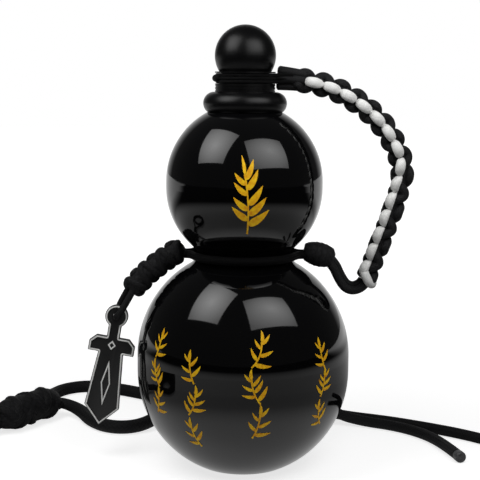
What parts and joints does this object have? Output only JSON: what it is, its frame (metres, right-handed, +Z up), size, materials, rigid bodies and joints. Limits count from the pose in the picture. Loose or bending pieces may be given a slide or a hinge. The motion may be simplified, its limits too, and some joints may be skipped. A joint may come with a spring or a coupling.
{
  "type": "gourd water bottle",
  "caption": "Glossy double-bulb gourd flask with a ball-topped screw cap on a braided carry handle, a hanging charm, a cord round the waist and a corded shoulder strap.",
  "frame": {"origin": "centre of the flat base, on the bottle's axis", "axes": "+Z up along the bottle's axis to the cap, +X towards the carry handle, -Y towards the viewer"},
  "size_m": [0.4023, 0.2243, 0.2391],
  "materials": {
    "lacquer": "gloss",
    "cap_plastic": "satin",
    "insert_plastic": "satin",
    "silicone": "matte",
    "black_cord": "woven",
    "white_cord": "woven",
    "tie_strap": "woven",
    "charm_black": "satin",
    "charm_white": "satin"
  },
  "bodies": {
    "bottle": {"bottle_body": "lacquer", "handle_braid": "black_cord", "handle_end_band": "white_cord", "handle_tail": "black_cord", "waist_loop": "black_cord", "waist_knot": "black_cord", "charm_lanyard": "black_cord", "charm_cord": "black_cord", "strap_anchor_knot": "black_cord", "strap_left_far": "black_cord", "strap_left_near": "black_cord", "strap_right_far": "black_cord", "strap_right_near": "black_cord", "strap_coil": "black_cord", "coil_tie": "tie_strap", "strap_tips": "black_cord"},
    "tether": {"cap_tether_loop": "black_cord"},
    "cap": {"cap_shell": "cap_plastic", "cap_knob": "cap_plastic", "cap_thread_insert": "insert_plastic", "cap_seal": "silicone"},
    "charm": {"sword_charm": "charm_black", "charm_outline": "charm_white"},
    "adjuster": {"strap_slide_knot": "black_cord"}
  },
  "joints": [
    {"name": "cap_lift", "type": "slide", "parent": "bottle", "child": "tether", "axis": [0, 0, 1], "range_m": [0, 0.03], "deforming": ["handle_braid"]},
    {"name": "cap_turn", "type": "hinge", "parent": "tether", "child": "cap", "pos_m": [0, 0, 0.2], "axis": [0, 0, 1], "range_deg": [0, 900]},
    {"name": "charm_swing", "type": "hinge", "parent": "bottle", "child": "charm", "pos_m": [-0.0695, 0, 0.0809], "axis": [0, 1, 0], "range_deg": [-5, 70]},
    {"name": "strap_adjust", "type": "slide", "parent": "bottle", "child": "adjuster", "axis": [-0.5594, -0.8289, 0], "range_m": [0, 0.024]}
  ],
  "couplings": [
    {"joint": "cap_lift", "follows": "cap_turn", "m_per_rad": 0.0019099}
  ]
}
